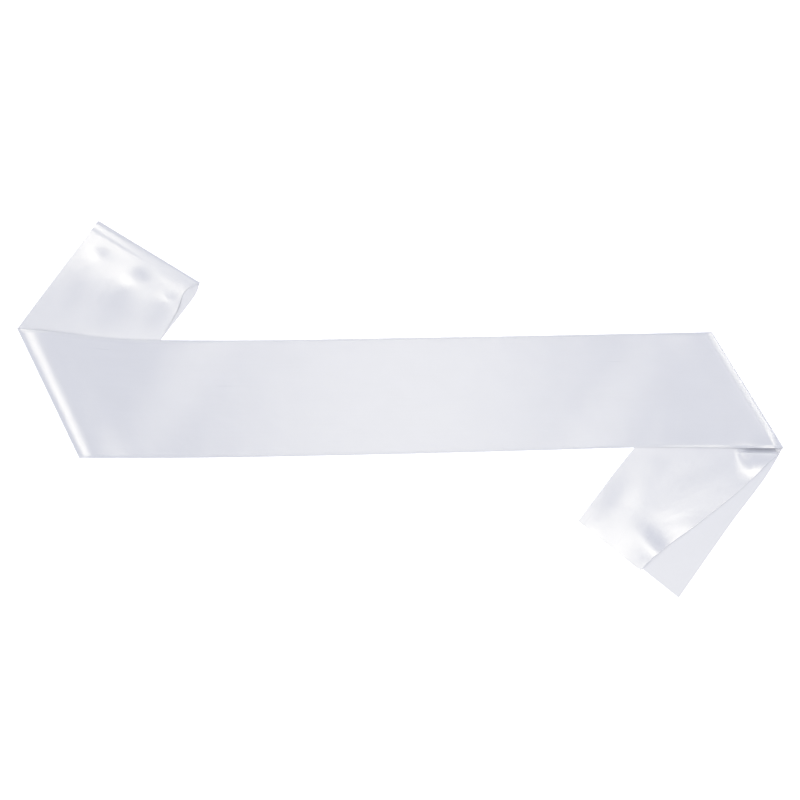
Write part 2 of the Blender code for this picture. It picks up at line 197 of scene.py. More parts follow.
# How finely the sheet is divided: most of it, then the upper layers of both ends along the strip,
# then the upper tail beside the right fold, up to these distances across the strip and along it
CELL = 0.0024
MID_CELL = 0.0010
FINE_CELL = 0.0005
FINE_ACROSS = 0.034
FINE_ALONG = 0.056
# The rows nearest to the strip's long edges
EDGE_ROWS = (0.0, 0.0005, 0.0011, 0.0018, 0.0026)
# Steps round a fold's nose and round the turned margin, and tries at meeting the band's edge
NOSE_STEPS = 12
TURN_STEPS = 10
EDGE_TRIES = 12

# The sheet's rims are rounded by its thickness over this, in so many steps, at corners over so
# many degrees
RIM_PARTS = 3
RIM_STEPS = 2
RIM_ANGLE = 50
# Decimals that tell the points of the flat grid apart
GRID_DIGITS = 6

# The weave: threads from one tie to the next, how far the tie moves from thread to thread as a
# share of that, and how many cells of noise a metre makes along and across the strip
TIE_EVERY = 5.0
TIE_SHIFT = 0.4
SLUB_CELLS = (12.0, 900.0, 1.0)
CLOUD_CELLS = (38.0, 55.0, 1.0)
NOISE_DETAIL = 3.0

# How much darker and lighter than its colour the satin gets, and what cloud and slub add to that
DARKER = 0.965
LIGHTER = 1.03
CLOUD_TINT = 0.6
SLUB_TINT = 0.4
# How much the roughness varies, and how much threads and cloud stand out in the relief
ROUGHNESS_RANGE = 0.10
THREAD_RELIEF = 0.010
CLOUD_RELIEF = 0.4
BUMP_STRENGTH = 0.5
BUMP_DISTANCE = 0.001
# How far the threads draw the gloss out, on the face and on the reverse
FACE_ANISOTROPY = 0.9
REVERSE_ANISOTROPY = 0.7
# The rest of the gloss, the same on both
SATIN_GLOSS = {
    "IOR": 1.7,
    "Anisotropic Rotation": 0.25,
    "Specular IOR Level": 1.0,
    "Specular Tint": (1.0, 0.96, 0.80, 1.0),
    "Sheen Weight": 0.15,
    "Sheen Roughness": 0.4,
}


def ease(t):
    """0 to 1 with a level start and end."""
    t = np.clip(t, 0.0, 1.0)
    return t * t * (3 - 2 * t)


def xy(point):
    """A corner in plan, in metres."""
    return SASH_WIDTH * np.array([point.x, point.y])


def smooth(rows, at):
    """The values at places on the smooth curve through rows of (place, value)."""
    places, values = np.array(rows, float).T
    slopes = np.gradient(values, places)
    i = np.clip(np.searchsorted(places, at) - 1, 0, len(rows) - 2)
    run = places[i + 1] - places[i]
    t = np.clip((at - places[i]) / run, 0.0, 1.0)
    start = (1 + 2 * t) * (1 - t) ** 2 * values[i] + t * (1 - t) ** 2 * run * slopes[i]
    end = t * t * (3 - 2 * t) * values[i + 1] - t * t * (1 - t) * run * slopes[i + 1]
    return start + end


def edge_level(edge, x):
    """How far back a long edge of the band lies at x, in metres."""
    return SASH_WIDTH * smooth(edge, np.asarray(x) / SASH_WIDTH)


def past(place, start, end, inside):
    """How far places lie past a line in plan, away from the inside point."""
    along = end - start
    normal = np.array([-along[1], along[0]]) / np.linalg.norm(along)
    if normal @ (inside - start) > 0:
        normal = -normal
    return (place - start) @ normal


def rounded(nose, level, share, power=2.0):
    """Heights on a rounded quarter, from its nose at share 0 to its level at share 1."""
    return nose + (level - nose) * (1 - (1 - np.clip(share, 0.0, 1.0)) ** power) ** (1 / power)


class Fold:
    """A slanted fold's outline in plan, and places measured inwards from it."""

    def __init__(self, tip, heel, inside):
        """From its corners on the band's top and bottom edges, and a corner further in."""
        self.tip = xy(tip)
        self.heel = xy(heel)
        along = self.heel - self.tip
        self.length = np.linalg.norm(along)
        self.along = along / self.length
        normal = np.array([-self.along[1], self.along[0]])
        self.inward = normal if normal @ (xy(inside) - self.tip) > 0 else -normal

    def depth(self, place):
        """How far in places lie from the fold's outline."""
        return (place - self.tip) @ self.inward

    def share(self, place):
        """0 at the tip and 1 at the heel."""
        return np.clip((place - self.tip) @ self.along / self.length, 0, 1)

    def on_band(self, edge, depth):
        """Where the rulings at these depths meet a long edge of the band."""
        start = self.tip if edge is BAND_TOP else self.heel
        x = np.full(len(depth), start[0])
        for _ in range(EDGE_TRIES):
            place = np.stack([x, edge_level(edge, x)], axis=1)
            x = x + (depth - self.depth(place)) / self.inward[0]
        return np.stack([x, edge_level(edge, x)], axis=1)


class End:
    """The doubled strip past a slanted fold, in plan: rulings from its left edge to its right."""

    def __init__(self, fold, ends, bows, run_out):
        """From its fold, its left and right corners, their edges' bows and its own run out."""
        self.starts = (fold.tip, fold.heel)
        self.ends = [xy(end) for end in ends]
        self.bows = bows
        self.depths = [fold.depth(end) for end in self.ends]
        self.spans = [abs(past(start, *self.ends, fold.tip)) for start in self.starts]
        self.last = [self.depth_at(side, run_out) for side in (0, 1)]

    def depth_at(self, side, before):
        """The depth of an edge's points that lie this far before the end."""
        return self.depths[side] * (1 - before / self.spans[side])

    def edge(self, side, depth):
        """Points on a long edge: side 0 starts at the fold's tip, side 1 at its heel."""
        start, end = self.starts[side], self.ends[side]
        share = np.asarray(depth / self.depths[side])[:, None]
        chord = end - start
        right = np.array([chord[1], -chord[0]]) / np.linalg.norm(chord)
        if right[0] < 0:
            right = -right
        bow = SASH_WIDTH * smooth(self.bows[side], np.clip(share, 0.0, 1.0))
        return start + chord * share + right * bow

    def ruling(self, depth):
        """Both ends of the rulings whose points on the tip's side are this deep."""
        share = np.clip((depth - PARALLEL) / (self.last[0] - PARALLEL), 0.0, None)
        heel_depth = depth + (self.last[1] - self.last[0]) * share**FAN_POWER
        return self.edge(0, depth), self.edge(1, heel_depth)

    def ruling_before_end(self, before):
        """Both ends of the rulings that lie this far before the end, and along it."""
        return self.edge(0, self.depth_at(0, before)), self.edge(1, self.depth_at(1, before))

    def before_end(self, place):
        """How far places lie before the line of the end."""
        return -past(place, *self.ends, self.starts[0])


LEFT_FOLD = Fold(LEFT_TIP, LEFT_HEEL, RIGHT_TIP)
RIGHT_FOLD = Fold(RIGHT_TIP, RIGHT_HEEL, LEFT_HEEL)
LOOP_ENDS = (LOOP_LEFT, LOOP_RIGHT)
LOOP_UNDER = End(LEFT_FOLD, LOOP_ENDS, (STRAIGHT, LOOP_UNDER_BOW), LOOP_ROLL.ease)
LOOP_OVER = End(LEFT_FOLD, LOOP_ENDS, (STRAIGHT, LOOP_OVER_BOW), LOOP_ROLL.ease)
LOOP_PLAIN = End(LEFT_FOLD, LOOP_ENDS, (STRAIGHT, STRAIGHT), LOOP_ROLL.ease)
UPPER_TAIL_ENDS = (UPPER_TAIL_LEFT, UPPER_TAIL_RIGHT)
LOWER_TAIL_ENDS = (LOWER_TAIL_LEFT, LOWER_TAIL_RIGHT)
TAIL_OVER = End(RIGHT_FOLD, UPPER_TAIL_ENDS, (TAIL_LEFT_BOW, TURNED_BOW), TAIL_RUN_OUT)
TAIL_UNDER = End(RIGHT_FOLD, LOWER_TAIL_ENDS, (TAIL_LEFT_BOW, TAIL_RIGHT_BOW), TAIL_RUN_OUT)


def even(start, end, cell=CELL):
    """Places from start to end, about a cell apart."""
    return np.linspace(start, end, max(2, math.ceil(abs(end - start) / cell) + 1))


def arc(start, end):
    """Places from a nose at start to end, close together at the nose."""
    return start + (end - start) * (1 - np.cos(np.linspace(0, math.pi / 2, NOSE_STEPS + 1)))


def rows_across():
    """Shares of the way across the strip, closer together at its edges."""
    edge = np.array(EDGE_ROWS)
    inner = even(edge[-1] + CELL / 2, SASH_WIDTH - edge[-1] - CELL / 2)
    return np.concatenate([edge, inner, SASH_WIDTH - edge[::-1]]) / SASH_WIDTH


def fine_rows_across():
    """Shares of the way across the strip, finer on the heel's side."""
    fine = even(0.0, FINE_ACROSS, FINE_CELL)
    edge = np.array(EDGE_ROWS)
    inner = even(FINE_ACROSS, SASH_WIDTH - edge[-1] - CELL / 2)[1:]
    return np.concatenate([fine, inner, SASH_WIDTH - edge[::-1]]) / SASH_WIDTH


def places_between(tips, heels, shares):
    """A grid of places: a column for each ruling, a row for each share from heel to tip."""
    return heels[:, None, :] + (tips - heels)[:, None, :] * shares[None, :, None]


def settled(place):
    """0 over the doubled strips beneath the band, and 1 where the band has settled past them."""
    left = past(place, LEFT_FOLD.heel, xy(LOOP_RIGHT), LEFT_FOLD.tip)
    middle = TAIL_OVER.edge(0, np.array([TAIL_OVER.depths[0] / 2]))[0]
    right = past(place, RIGHT_FOLD.tip, middle, RIGHT_FOLD.heel)
    return ease((np.minimum(left, right) - SETTLE_START) / SETTLE_RUN)


def creased(place, creases):
    """Height of the listed creases at places."""
    rise = 0.0
    for crease in creases:
        turn = math.radians(crease.turn)
        off = place - np.array([crease.x, crease.y])
        along = off @ np.array([math.cos(turn), math.sin(turn)])
        side = off @ np.array([-math.sin(turn), math.cos(turn)])
        ridge = crease.rise * np.exp(-((side / crease.wide) ** 2))
        past_step = np.clip(side / crease.trail, 0.0, None)
        step = crease.step * (1 + np.tanh(side / crease.wide)) / 2 * np.exp(-(past_step**2))
        rise = rise + (ridge + step) * np.exp(-((along / crease.long) ** 2))
    return rise


def lipped(place, lip):
    """Height of the lip that the upper tail makes beside the band's lower edge."""
    x = place[..., 0]
    out = edge_level(BAND_BOTTOM, x) - place[..., 1]
    along = ease((x - lip.left) / lip.run) * ease((lip.right - x) / lip.drop)
    rising = ease((out - lip.start) / (lip.peak - lip.start))
    falling = (1 - np.clip((out - lip.peak) / (lip.end - lip.peak), 0.0, 1.0)) ** lip.fall
    return lip.rise * along * rising * falling


def over_roll(roll, depth, rise, flat):
    """Heights of the cloth on top of a roll, this far in from the fold's outline."""
    share = (depth - roll.inset) / (roll.crest_in - roll.inset)
    outer = rounded(roll.nose, flat + rise, share, roll.power)
    inner = flat + rise * (1 - ease((depth - roll.crest_in) / (roll.ease - roll.crest_in)))
    return np.where(depth < roll.crest_in, outer, inner)


def under_roll(roll, depth, flat):
    """Heights of the cloth beneath a roll, this far in from the fold's outline."""
    return rounded(roll.nose, flat, (depth - roll.inset) / roll.turn)


def band_height(place, flat, low, rolls, droop):
    """Heights of a band layer: settled past the ends beneath it, and rolled at each fold."""
    level = flat + (low - flat) * settled(place) + creased(place, BAND_CREASES)
    top, bottom = edge_level(BAND_TOP, place[..., 0]), edge_level(BAND_BOTTOM, place[..., 0])
    inside = np.minimum(top - place[..., 1], place[..., 1] - bottom)
    sunk = np.minimum(droop * (level - FRONT_UNDER), DROOP_MOST)
    level = level - sunk * (1 - ease(inside / DROOP_RUN))
    for fold, roll in zip((LEFT_FOLD, RIGHT_FOLD), rolls):
        depth = fold.depth(place)
        scale = roll.tip + (roll.heel - roll.tip) * fold.share(place)
        level = np.where(depth < roll.ease, over_roll(roll, depth, roll.crest * scale, level), level)
    return level


def fold_rulings(fold, end, roll, depth, over):
    """Rulings of a band layer near a fold, which meet at the fold's nose."""

    def edges(at, above):
        """Both ends of the rulings at these depths, on the band or on the end beneath it."""
        if above:
            return np.stack([fold.on_band(BAND_TOP, at), fold.on_band(BAND_BOTTOM, at)])
        return np.stack(end.ruling(at))

    nose = np.array([roll.inset])
    middle = (edges(nose, True) + edges(nose, False)) / 2
    near = 1 - ease((depth - roll.inset) / roll.turn)
    return edges(depth, over) + (middle - edges(nose, over)) * near[:, None]


def with_heights(places, heights):
    """Points in space, from places in plan and their heights."""
    return np.concatenate([places, heights[:, :, None]], axis=2)


def band_stretch(flat, low, under, rolls, droop):
    """The points of a band layer, from its return beneath the left fold to the one at the right."""
    shares = rows_across()
    parts = {}
    for side, fold, end, roll in (
        ("left", LEFT_FOLD, LOOP_UNDER, rolls[0]),
        ("right", RIGHT_FOLD, TAIL_UNDER, rolls[1]),
    ):
        turned = roll.inset + roll.turn
        below = np.concatenate([even(RETURN, turned)[:-1], arc(roll.inset, turned)[::-1]])
        above = np.concatenate([arc(roll.inset, roll.crest_in)[1:], even(roll.crest_in, roll.ease)[1:]])
        lower = places_between(*fold_rulings(fold, end, roll, below, False), shares)
        upper_rulings = fold_rulings(fold, end, roll, above, True)
        upper = places_between(*upper_rulings, shares)
        points = [
            with_heights(lower, under_roll(roll, fold.depth(lower), under)),
            with_heights(upper, band_height(upper, flat, low, rolls, droop)),
        ]
        parts[side] = (np.concatenate(points), upper_rulings[:, -1])
    (left, left_last), (right, right_last) = parts["left"], parts["right"]
    steps = even(0.0, np.linalg.norm(right_last[1] - left_last[1]))
    share = (steps / steps[-1])[1:-1, None]
    tips, heels = (left_last[k] + (right_last[k] - left_last[k]) * share for k in (0, 1))
    tips[:, 1], heels[:, 1] = edge_level(BAND_TOP, tips[:, 0]), edge_level(BAND_BOTTOM, heels[:, 0])
    middle = places_between(tips, heels, shares)
    middle = with_heights(middle, band_height(middle, flat, low, rolls, droop))
    return np.concatenate([left, middle, right[::-1]])


def loop_over_places(depths, befores, shares):
    """Places on the end's upper layer: only the cloth near its right edge follows that edge's bow."""
    bowed, plain = (
        np.concatenate([np.stack(end.ruling_before_end(befores)), np.stack(end.ruling(depths))], axis=1)
        for end in (LOOP_OVER, LOOP_PLAIN)
    )
    shift = (bowed[1] - plain[1])[:, None, :] * ((1 - shares) ** BOW_POWER)[None, :, None]
    return places_between(*plain, shares) + shift


def loop_stretch():
    """The points of the folded-in-half end, from its lower layer round to its upper one."""
    roll = LOOP_ROLL
    shares = rows_across()
    flat_depths = even(RETURN, LOOP_UNDER.last[0])
    turn = arc(roll.inset, roll.inset + roll.turn)[::-1]
    below = np.concatenate([even(roll.ease, turn[0])[1:-1], turn])
    crest = arc(roll.inset, roll.crest_in)[1:]
    above = np.concatenate([crest, even(roll.crest_in, roll.ease, MID_CELL)[1:]])

    lower = [np.stack(LOOP_UNDER.ruling(flat_depths)), np.stack(LOOP_UNDER.ruling_before_end(below))]
    lower = places_between(*np.concatenate(lower, axis=1), shares)
    upper = loop_over_places(even(LOOP_OVER.last[0], RETURN, MID_CELL)[1:], above, shares)
    outside = upper[:, :, 1] - edge_level(BAND_TOP, upper[:, :, 0])
    free = ease((outside - CREASE_FREE) / LOOP_CREASE_RUN)
    level = BACK_UNDER + free * creased(upper, LOOP_CREASES)
    low = under_roll(roll, LOOP_UNDER.before_end(lower), FRONT_UNDER)
    return np.concatenate([
        with_heights(lower, low + creased(lower, LOOP_UNDER_CREASES)),
        with_heights(upper, over_roll(roll, LOOP_OVER.before_end(upper), roll.crest, level)),
    ])


def tail_rulings(end, near_cell=CELL):
    """Rulings of a tail, from where the roll ends to the cut end."""
    far = even(FINE_ALONG, end.last[0], max(near_cell, MID_CELL))
    depths = np.concatenate([even(RETURN, FINE_ALONG, near_cell), far[1:]])
    near = np.stack(end.ruling(depths))
    last = np.stack(end.ruling_before_end(even(TAIL_RUN_OUT, 0.0)[1:]))
    return np.concatenate([near, last], axis=1)


def lower_tail_stretch():
    """The points of the cut end that lies on the table."""
    places = places_between(*tail_rulings(TAIL_UNDER), rows_across())
    return with_heights(places, np.full(places.shape[:2], FRONT_UNDER))


def upper_tail_stretch():
    """The points of the upper cut end, from its turned-under margin round to its left edge."""
    tips, heels = tail_rulings(TAIL_OVER, FINE_CELL)
    share = np.linspace(0.0, 1.0, len(tips))[:, None]
    width = TURNED_START + (TURNED_END - TURNED_START) * share
    run = TURN_EASE_START + (TURN_EASE_END - TURN_EASE_START) * share
    inward = (tips - heels) / np.linalg.norm(tips - heels, axis=1)[:, None]
    centres = heels + inward * TURN_RADIUS
    top = places_between(tips, centres, fine_rows_across())
    reach = ((top - centres[:, None, :]) * inward[:, None, :]).sum(2)
    lift = (BACK_OVER - BACK_UNDER) * (1 - ease((reach - width) / run))
    outside = edge_level(BAND_BOTTOM, top[:, :, 0]) - top[:, :, 1]
    free = ease((outside - CREASE_FREE) / CREASE_RUN)
    level = BACK_UNDER + lift + free * creased(top, TAIL_CREASES) + lipped(top, TAIL_LIP)
    top_points = with_heights(top, level)

    flap_shares = np.linspace(1.0, 0.0, math.ceil(TURNED_END / CELL) + 1)[:-1]
    flap = centres[:, None, :] + inward[:, None, :] * width[:, :, None] * flap_shares[None, :, None]
    flap_points = with_heights(flap, np.full(flap.shape[:2], BACK_UNDER))

    angles = np.pi * np.arange(TURN_STEPS) / TURN_STEPS
    turn = centres[:, None, :] - inward[:, None, :] * TURN_RADIUS * np.sin(angles)[None, :, None]
    half = (top_points[:, 0, 2] - BACK_UNDER) / 2
    turn_points = with_heights(turn, BACK_UNDER + half[:, None] * (1 - np.cos(angles))[None, :])
    return np.concatenate([flap_points, turn_points, top_points], axis=1)


def lay_shift():
    """How far the solids were moved to put the origin in the middle of their box."""
    low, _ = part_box("tail_lower")
    corner = SASH_WIDTH * np.array([LOWER_TAIL_LEFT.x, LOWER_TAIL_RIGHT.y])
    return np.array([low.x - corner[0], low.y - corner[1], 0.0])


def cloth_map(points, start_u):
    """Metres along and across the strip at each point, and the same at its last column."""
    steps = np.linalg.norm(np.diff(points, axis=0), axis=2)
    u = start_u[None, :] + np.concatenate([np.zeros((1, points.shape[1])), np.cumsum(steps, axis=0)])
    across = np.linalg.norm(np.diff(points, axis=1), axis=2)
    v = np.concatenate([np.zeros((points.shape[0], 1)), np.cumsum(across, axis=1)], axis=1)
    v = SASH_WIDTH * v / v[:, -1:]
    return np.stack([u, v], axis=2), u[-1]


def strip_stretches():
    """Every stretch of the strip in order, as (points, map)."""
    front_rolls, back_rolls = (LEFT_FRONT_ROLL, RIGHT_FRONT_ROLL), (LEFT_BACK_ROLL, RIGHT_BACK_ROLL)
    front = band_stretch(FRONT_OVER, FRONT_SETTLED, FRONT_UNDER, front_rolls, FRONT_DROOP)
    back = band_stretch(BACK_OVER, BACK_SETTLED, BACK_UNDER, back_rolls, BACK_DROOP)
    ordered = {
        "tail_lower": lower_tail_stretch()[::-1],
        "front_band": front[::-1],
        "left_end": loop_stretch(),
        "back_band": back,
        "tail_upper": upper_tail_stretch(),
    }
    stretches = {}
    ends = np.zeros(2)
    for name, points in ordered.items():
        shares = np.linspace(0.0, 1.0, points.shape[1])
        mapped, last = cloth_map(points, ends[0] + (ends[1] - ends[0]) * shares)
        ends = last[[0, -1]]
        stretches[name] = (points + lay_shift(), mapped)
    return stretches


def build_stretch(node, name, sizes):
    """One stretch of the cloth as a thin closed sheet, its outer face up on the band."""
    points, mapped = strip_stretches()[node]
    along, across = points.shape[:2]
    mesh = bpy.data.meshes.new(name)
    bm = bmesh.new()
    bmesh.ops.create_grid(bm, x_segments=along - 1, y_segments=across - 1, size=1)
    ordered = sorted(bm.verts, key=lambda v: (round(v.co.x, GRID_DIGITS), round(v.co.y, GRID_DIGITS)))
    flat_points, flat_map = points.reshape(-1, 3), mapped.reshape(-1, 2)
    map_of = {}
    for number, vert in enumerate(ordered):
        vert.co = flat_points[number]
        map_of[vert] = flat_map[number]
    layer = bm.loops.layers.uv.new(CLOTH_MAP)
    for face in bm.faces:
        for loop in face.loops:
            loop[layer].uv = map_of[loop.vert]
    bmesh.ops.reverse_faces(bm, faces=bm.faces[:])
    bm.to_mesh(mesh)
    bm.free()
    mesh.shade_smooth()
    obj = bpy.data.objects.new(name, mesh)
    bpy.context.scene.collection.objects.link(obj)
    wall = obj.modifiers.new("cloth", "SOLIDIFY")
    wall.thickness = sizes.thickness
    wall.offset = 0.0
    wall.use_rim = True
    wall.material_offset = 1
    edge = obj.modifiers.new("edge", "BEVEL")
    edge.width = sizes.thickness / RIM_PARTS
    edge.segments = RIM_STEPS
    edge.limit_method = "ANGLE"
    edge.angle_limit = math.radians(RIM_ANGLE)
    edge.harden_normals = True
    mesh.materials.append(satin_material("satin_face", sizes, True))
    mesh.materials.append(satin_material("satin_reverse", sizes, False))
    length = float(np.mean(mapped[-1, :, 0] - mapped[0, :, 0]))
    return obj, length


def new_group(name, inputs, outputs):
    """An empty shader node group with named value inputs and outputs."""
    group = bpy.data.node_groups.new(name, "ShaderNodeTree")
    for label, kind, default in inputs:
        socket = group.interface.new_socket(label, in_out="INPUT", socket_type=kind)
        if default is not None:
            socket.default_value = default
    for label, kind in outputs:
        group.interface.new_socket(label, in_out="OUTPUT", socket_type=kind)
    return group


def math_node(tree, operation, first, second=None):
    """A Math node on two sockets or numbers, and its result."""
    node = tree.nodes.new("ShaderNodeMath")
    node.operation = operation
    for socket, value in zip(node.inputs, (first, second)):
        if value is None:
            continue
        if isinstance(value, (int, float)):
            socket.default_value = value
        else:
            tree.links.new(value, socket)
    return node.outputs[0]


def cloth_noise(tree, vector, cells):
    """Soft noise on the cloth's map, with so many cells a metre along and across the strip."""
    mapping = tree.nodes.new("ShaderNodeMapping")
    mapping.inputs["Scale"].default_value = cells
    tree.links.new(vector, mapping.inputs["Vector"])
    noise = tree.nodes.new("ShaderNodeTexNoise")
    noise.inputs["Scale"].default_value = 1.0
    noise.inputs["Detail"].default_value = NOISE_DETAIL
    tree.links.new(mapping.outputs["Vector"], noise.inputs["Vector"])
    return noise.outputs["Fac"]


def satin_weave_group():
    """Long threads along the strip, each tied down now and then, out of step with its neighbours."""
    name = "satin weave"
    if name in bpy.data.node_groups:
        return bpy.data.node_groups[name]
    inputs = (("Cloth", "NodeSocketVector", None), ("Thread pitch", "NodeSocketFloat", 0.0003))
    outputs = [(label, "NodeSocketFloat") for label in ("Threads", "Slub", "Cloud")]
    tree = new_group(name, inputs, outputs)
    given, out = tree.nodes.new("NodeGroupInput"), tree.nodes.new("NodeGroupOutput")
    split = tree.nodes.new("ShaderNodeSeparateXYZ")
    tree.links.new(given.outputs["Cloth"], split.inputs[0])
    thread = math_node(tree, "DIVIDE", split.outputs["Y"], given.outputs["Thread pitch"])
    number = math_node(tree, "FLOOR", thread)
    half_turn = math_node(tree, "MULTIPLY", math_node(tree, "FRACT", thread), math.pi)
    round_top = math_node(tree, "SINE", half_turn)
    run = math_node(tree, "DIVIDE", split.outputs["X"], given.outputs["Thread pitch"])
    floats = math_node(tree, "DIVIDE", run, TIE_EVERY)
    step = math_node(tree, "ADD", floats, math_node(tree, "MULTIPLY", number, TIE_SHIFT))
    tie = math_node(tree, "PINGPONG", step, 0.5)
    dip = math_node(tree, "SMOOTH_MIN", math_node(tree, "MULTIPLY", tie, TIE_EVERY), 1.0)
    tree.links.new(math_node(tree, "MULTIPLY", round_top, dip), out.inputs["Threads"])
    for label, cells in (("Slub", SLUB_CELLS), ("Cloud", CLOUD_CELLS)):
        tree.links.new(cloth_noise(tree, given.outputs["Cloth"], cells), out.inputs[label])
    return tree


def satin_material(name, sizes, face):
    """Satin: glossy along its threads on the outer face, duller on the reverse."""
    if name in bpy.data.materials:
        return bpy.data.materials[name]
    colours = bpy.context.scene.sash_colours
    colour = colours.face if face else colours.reverse
    material = bpy.data.materials.new(name)
    material.use_nodes = True
    tree = material.node_tree
    shader = tree.nodes["Principled BSDF"]
    cloth = tree.nodes.new("ShaderNodeUVMap")
    cloth.uv_map = CLOTH_MAP
    weave = tree.nodes.new("ShaderNodeGroup")
    weave.node_tree = satin_weave_group()
    weave.inputs["Thread pitch"].default_value = sizes.thread_pitch
    tree.links.new(cloth.outputs["UV"], weave.inputs["Cloth"])

    tint = tree.nodes.new("ShaderNodeMix")
    tint.data_type = "RGBA"
    tint.inputs["A"].default_value = (*[c * DARKER for c in colour], 1.0)
    tint.inputs["B"].default_value = (*[min(c * LIGHTER, 1.0) for c in colour], 1.0)
    cloud = math_node(tree, "MULTIPLY", weave.outputs["Cloud"], CLOUD_TINT)
    slub = math_node(tree, "MULTIPLY", weave.outputs["Slub"], SLUB_TINT)
    tree.links.new(math_node(tree, "ADD", cloud, slub), tint.inputs["Factor"])
    tree.links.new(tint.outputs["Result"], shader.inputs["Base Color"])

    rough = sizes.face_roughness if face else sizes.reverse_roughness
    slub = math_node(tree, "MULTIPLY", weave.outputs["Slub"], ROUGHNESS_RANGE)
    roughness = math_node(tree, "ADD", slub, rough - ROUGHNESS_RANGE / 2)
    tree.links.new(roughness, shader.inputs["Roughness"])
    shader.inputs["Anisotropic"].default_value = FACE_ANISOTROPY if face else REVERSE_ANISOTROPY
    for label, value in SATIN_GLOSS.items():
        shader.inputs[label].default_value = value
    tangent = tree.nodes.new("ShaderNodeTangent")
    tangent.direction_type = "UV_MAP"
    tangent.uv_map = CLOTH_MAP
    tree.links.new(tangent.outputs["Tangent"], shader.inputs["Tangent"])

    threads = math_node(tree, "MULTIPLY", weave.outputs["Threads"], THREAD_RELIEF)
    cloud = math_node(tree, "MULTIPLY", weave.outputs["Cloud"], CLOUD_RELIEF)
    relief = math_node(tree, "ADD", threads, cloud)
    bump = tree.nodes.new("ShaderNodeBump")
    bump.inputs["Strength"].default_value = BUMP_STRENGTH
    bump.inputs["Distance"].default_value = BUMP_DISTANCE
    tree.links.new(relief, bump.inputs["Height"])
    tree.links.new(bump.outputs["Normal"], shader.inputs["Normal"])
    return material


class SashCloth(PropertyGroup):
    """The cloth's thickness, thread and gloss"""

    thickness: FloatProperty(
        name="Cloth thickness",
        description="Thickness of the satin",
        default=0.0003,
        unit="LENGTH",
        precision=5,
    )
    thread_pitch: FloatProperty(
        name="Thread pitch",
        description="Distance between threads",
        default=0.0003,
        unit="LENGTH",
        precision=5,
    )
    face_roughness: FloatProperty(
        name="Face roughness",
        description="Roughness of the glossy outer face",
        default=0.30,
        subtype="FACTOR",
    )
    reverse_roughness: FloatProperty(
        name="Reverse roughness",
        description="Roughness of the duller reverse",
        default=0.48,
        subtype="FACTOR",
    )


class SashColours(PropertyGroup):
    """The colours of the satin and of the table"""

    face: FloatVectorProperty(
        name="Face",
        description="Colour of the outer face",
        default=(0.745, 0.765, 0.87),
        subtype="COLOR",
        size=3,
    )
    reverse: FloatVectorProperty(
        name="Reverse",
        description="Colour of the inner face",
        default=(0.745, 0.765, 0.87),
        subtype="COLOR",
        size=3,
    )
    floor: FloatVectorProperty(
        name="Floor",
        description="Colour of the table",
        default=(0.95, 0.95, 0.95),
        subtype="COLOR",
        size=3,
    )


class SashStage(PropertyGroup):
    """The camera and the light"""

    lens: FloatProperty(
        name="Lens",
        description="Focal length in millimetres",
        default=100.0,
    )
    view_width: FloatProperty(
        name="View width",
        description="How much of the table the camera sees",
        default=0.6838,
        unit="LENGTH",
    )
    view_back: FloatProperty(
        name="View centre",
        description="How far back the camera stands from the origin",
        default=0.0083,
        unit="LENGTH",
    )
    ambient: FloatProperty(
        name="Ambient",
        description="Strength of the light all round",
        default=0.335,
    )
    lamp_power: FloatProperty(
        name="Lamps",
        description="Scales the power of every lamp",
        default=1.0,
    )


def finish_piece(piece, node):
    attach(piece, BODY)
    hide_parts(node)


class SASH_OT_back_band(Operator):
    """Adds the hidden layer of the long band, with the inner roll of both slanted folds"""

    bl_idname = "sash.back_band"
    bl_label = "Back band"

    def execute(self, context):
        piece, length = build_stretch("back_band", "satin_back_band", context.scene.sash_cloth)
        finish_piece(piece, "back_band")
        return {"FINISHED"}


class SASH_OT_front_band(Operator):
    """Adds the upper layer of the long band, with the outer roll of both slanted folds"""

    bl_idname = "sash.front_band"
    bl_label = "Front band"

    def execute(self, context):
        piece, length = build_stretch("front_band", "satin_front_band", context.scene.sash_cloth)
        finish_piece(piece, "front_band")
        return {"FINISHED"}


class SASH_OT_left_end(Operator):
    """Adds the folded-in-half end at the upper left"""

    bl_idname = "sash.left_end"
    bl_label = "Folded end"

    def execute(self, context):
        piece, length = build_stretch("left_end", "satin_left_end", context.scene.sash_cloth)
        finish_piece(piece, "left_end")
        return {"FINISHED"}


class SASH_OT_tails(Operator):
    """Adds the two cut ends at the lower right"""

    bl_idname = "sash.tails"
    bl_label = "Cut ends"

    def execute(self, context):
        for node, rests_on in (("tail_lower", ["front_band"]), ("tail_upper", ["tail_lower"])):
            piece, length = build_stretch(node, "satin_" + node, context.scene.sash_cloth)
            finish_piece(piece, node)
        return {"FINISHED"}


# Soft lamps that face the middle of the table: turn is the way they stand in degrees from X, tilt
# how far from straight overhead, away the distance, and wide and long the size of the lamp
Lamp = namedtuple("Lamp", "name turn tilt away wide long power")
LAMPS = (
    Lamp("upper_left_lamp", 145, 36, 2.0, 0.12, 0.8, 5.0),
    Lamp("lower_right_lamp", 322, 36, 2.0, 0.12, 0.8, 7.0),
    Lamp("front_lamp", 291, 52, 2.12, 0.25, 0.5, 3.2),
    Lamp("back_lamp", 111, 52, 2.12, 0.25, 0.5, 2.6),
    Lamp("left_lamp", 199, 31, 1.9, 0.6, 0.18, 4.0),
    Lamp("left_low_lamp", 199, 72, 1.8, 0.8, 0.3, 3.0),
    Lamp("right_lamp", 25, 53, 1.8, 0.6, 0.62, 5.4),
    Lamp("overhead_lamp", 0, 0.1, 2.4, 1.1, 0.66, 6.8),
)
LAMP_COLOUR = (1.0, 0.98, 0.93)
SKY_COLOUR = (0.88, 0.92, 1.0, 1.0)

